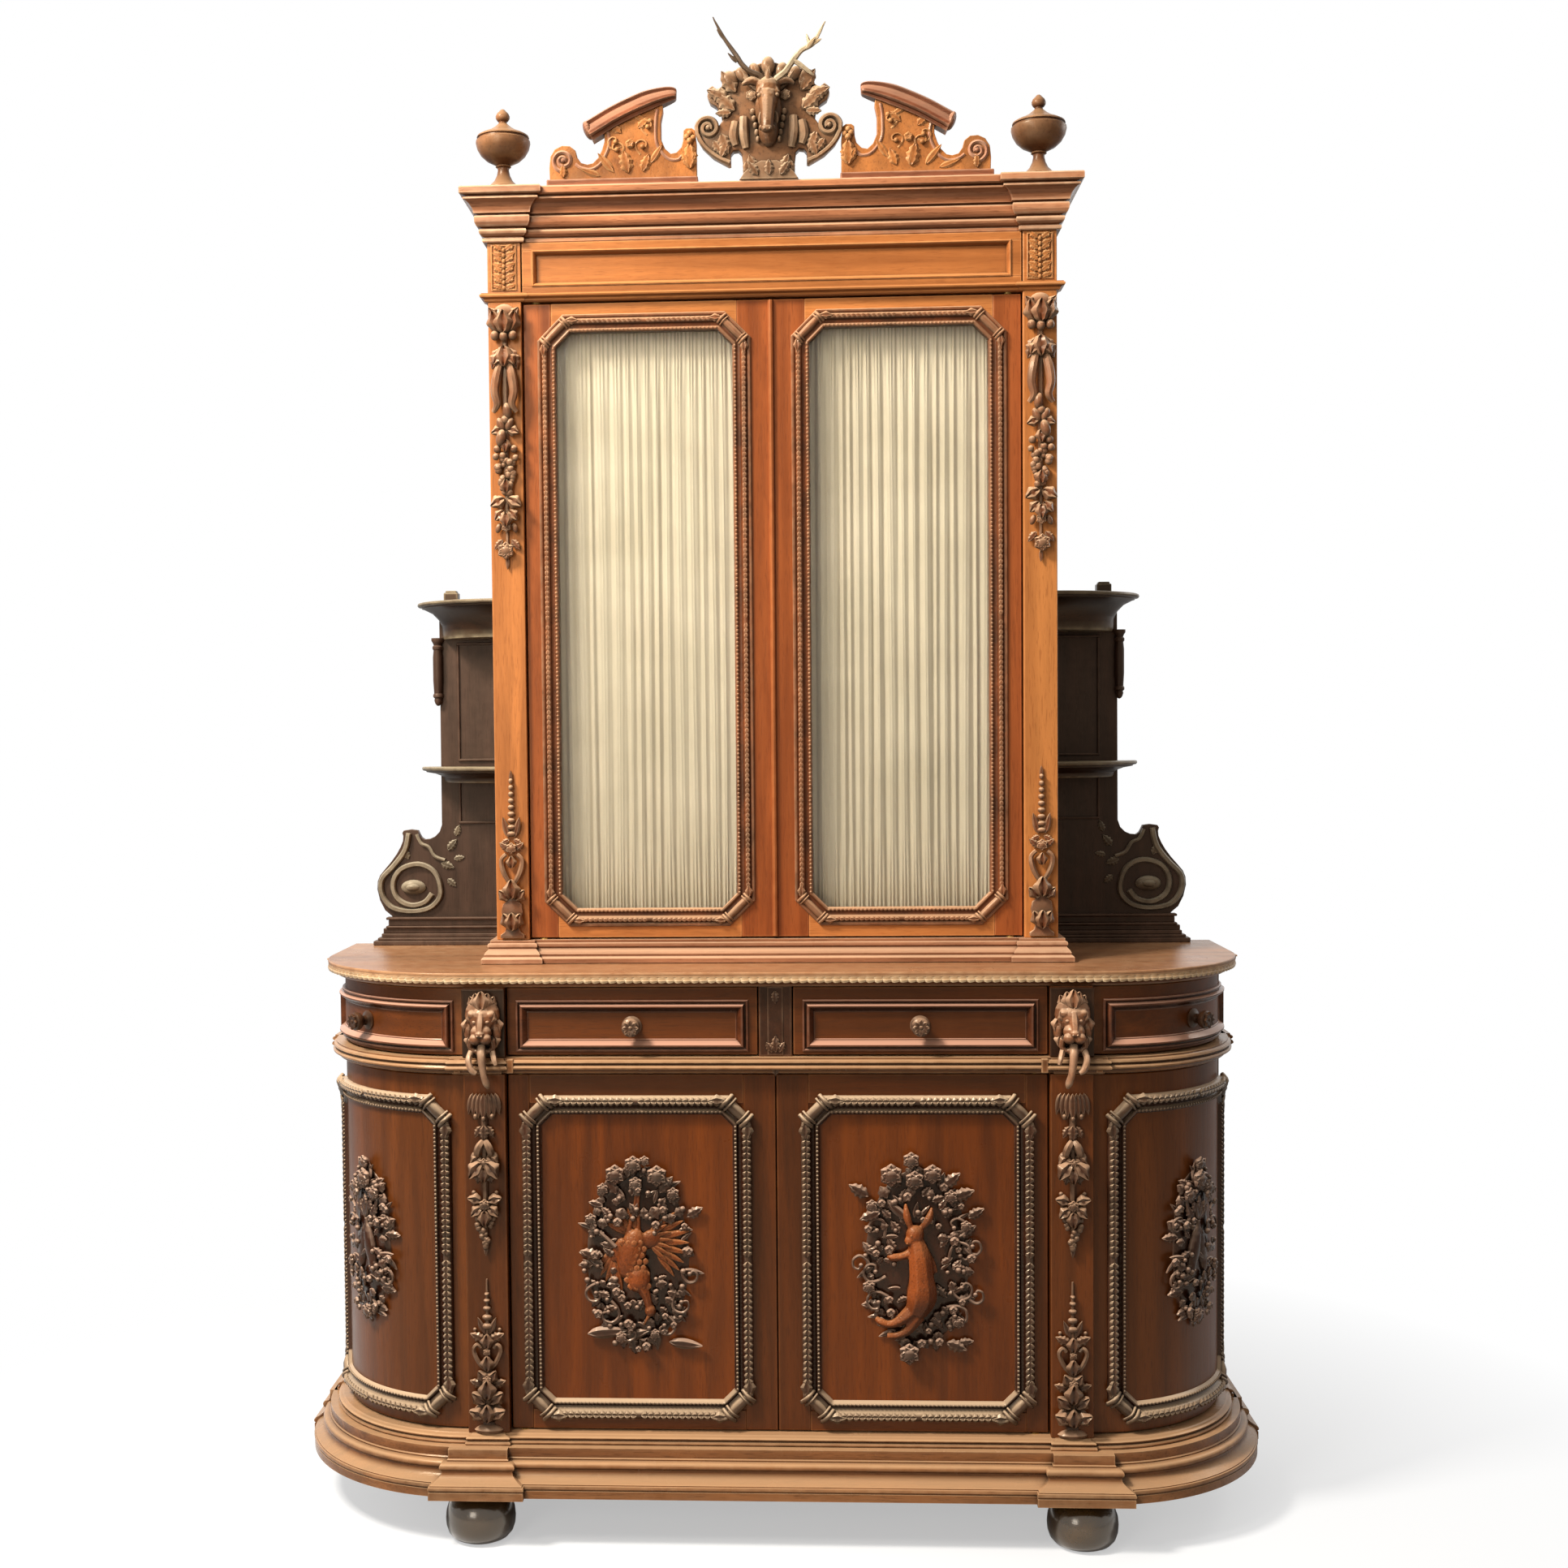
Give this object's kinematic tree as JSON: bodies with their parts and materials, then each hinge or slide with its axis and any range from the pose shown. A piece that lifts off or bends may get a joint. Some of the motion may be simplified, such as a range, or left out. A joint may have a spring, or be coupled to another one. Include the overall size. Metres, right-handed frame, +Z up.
{
  "type": "two-part buffet",
  "caption": "Tall two-part carved buffet: cupboard base with rounded ends, drawers and doors, under a curtained glazed cupboard with side niches, cornice and stag crest.",
  "frame": {"origin": "on the floor, under the middle of the overall box", "axes": "+X to the viewer's right of the front, +Y to the wall behind, +Z up; the front faces -Y"},
  "size_m": [1.792, 0.55, 2.682],
  "materials": {
    "walnut": "waxed, satin",
    "carved_walnut": "waxed carving, worn on the high points",
    "dark_walnut": "dark stain, satin",
    "inner_oak": "plain, unpolished",
    "brass": "aged",
    "door_glass": "clear",
    "curtain_cloth": "gathered plain cotton"
  },
  "bodies": {
    "case": {"bun_feet": "dark_walnut", "plinth": "walnut", "base_bottom_board": "walnut", "base_back_panel": "dark_walnut", "base_case_sides": "dark_walnut", "base_pilasters": "walnut", "waist_moulding": "walnut", "drawer_dividers": "inner_oak", "counter_top": "walnut", "shelves": "inner_oak", "animal_masks": "carved_walnut", "base_pilaster_carvings": "carved_walnut", "door_pivot_pins": "brass", "upper_foot_moulding": "walnut", "upper_case_boards": "dark_walnut", "upper_back_panel": "dark_walnut", "upper_pilasters": "walnut", "upper_pilaster_carvings": "carved_walnut", "frieze": "walnut", "cornice": "walnut", "pediments": "walnut", "crest_cartouche": "carved_walnut", "stag_head": "carved_walnut", "urn_finials": "walnut", "niche_backs": "dark_walnut", "niche_shelves": "dark_walnut"},
    "upper_door_left": {"upper_door_frame_left": "walnut", "glazing_moulding_left": "carved_walnut", "door_glass_left": "door_glass", "curtain_left": "curtain_cloth", "curtain_rods_left": "brass"},
    "middle_door_left": {"base_door_left": "walnut", "base_door_moulding_left": "carved_walnut", "base_door_trophy_left": "carved_walnut"},
    "rounded_door_left": {"end_door_left": "walnut", "end_door_moulding_left": "carved_walnut", "end_door_trophy_left": "carved_walnut"},
    "middle_drawer_left": {"drawer_front_left": "walnut", "drawer_box_left": "inner_oak", "drawer_knob_left": "carved_walnut"},
    "rounded_drawer_left": {"end_drawer_front_left": "walnut", "end_drawer_box_left": "inner_oak", "end_drawer_knob_left": "carved_walnut"},
    "upper_door_right": {"upper_door_frame_right": "walnut", "glazing_moulding_right": "carved_walnut", "door_glass_right": "door_glass", "curtain_right": "curtain_cloth", "curtain_rods_right": "brass"},
    "middle_door_right": {"base_door_right": "walnut", "base_door_moulding_right": "carved_walnut", "base_door_trophy_right": "carved_walnut"},
    "rounded_door_right": {"end_door_right": "walnut", "end_door_moulding_right": "carved_walnut", "end_door_trophy_right": "carved_walnut"},
    "middle_drawer_right": {"drawer_front_right": "walnut", "drawer_box_right": "inner_oak", "drawer_knob_right": "carved_walnut"},
    "rounded_drawer_right": {"end_drawer_front_right": "walnut", "end_drawer_box_right": "inner_oak", "end_drawer_knob_right": "carved_walnut"}
  },
  "joints": [
    {"name": "upper_door_swing_left", "type": "hinge", "parent": "case", "child": "upper_door_left", "pos_m": [-0.4235, -0.051, 1.055], "axis": [0, 0, -1], "range_deg": [0, 95]},
    {"name": "middle_door_swing_left", "type": "hinge", "parent": "case", "child": "middle_door_left", "pos_m": [-0.4515, -0.182, 0.192], "axis": [0, 0, -1], "range_deg": [0, 90]},
    {"name": "rounded_door_swing_left", "type": "hinge", "parent": "case", "child": "rounded_door_left", "pos_m": [-0.807, 0.054, 0.192], "axis": [0, 0, -1], "range_deg": [0, 90]},
    {"name": "middle_drawer_slide_left", "type": "slide", "parent": "case", "child": "middle_drawer_left", "axis": [0, -1, 0], "range_m": [0, 0.3]},
    {"name": "rounded_drawer_slide_left", "type": "slide", "parent": "case", "child": "rounded_drawer_left", "axis": [-0.7071, -0.7071, 0], "range_m": [0, 0.15]},
    {"name": "upper_door_swing_right", "type": "hinge", "parent": "case", "child": "upper_door_right", "pos_m": [0.4235, -0.051, 1.055], "axis": [0, 0, 1], "range_deg": [0, 95]},
    {"name": "middle_door_swing_right", "type": "hinge", "parent": "case", "child": "middle_door_right", "pos_m": [0.4515, -0.182, 0.192], "axis": [0, 0, 1], "range_deg": [0, 90]},
    {"name": "rounded_door_swing_right", "type": "hinge", "parent": "case", "child": "rounded_door_right", "pos_m": [0.807, 0.054, 0.192], "axis": [0, 0, 1], "range_deg": [0, 90]},
    {"name": "middle_drawer_slide_right", "type": "slide", "parent": "case", "child": "middle_drawer_right", "axis": [0, -1, 0], "range_m": [0, 0.3]},
    {"name": "rounded_drawer_slide_right", "type": "slide", "parent": "case", "child": "rounded_drawer_right", "axis": [0.7071, -0.7071, 0], "range_m": [0, 0.15]}
  ]
}
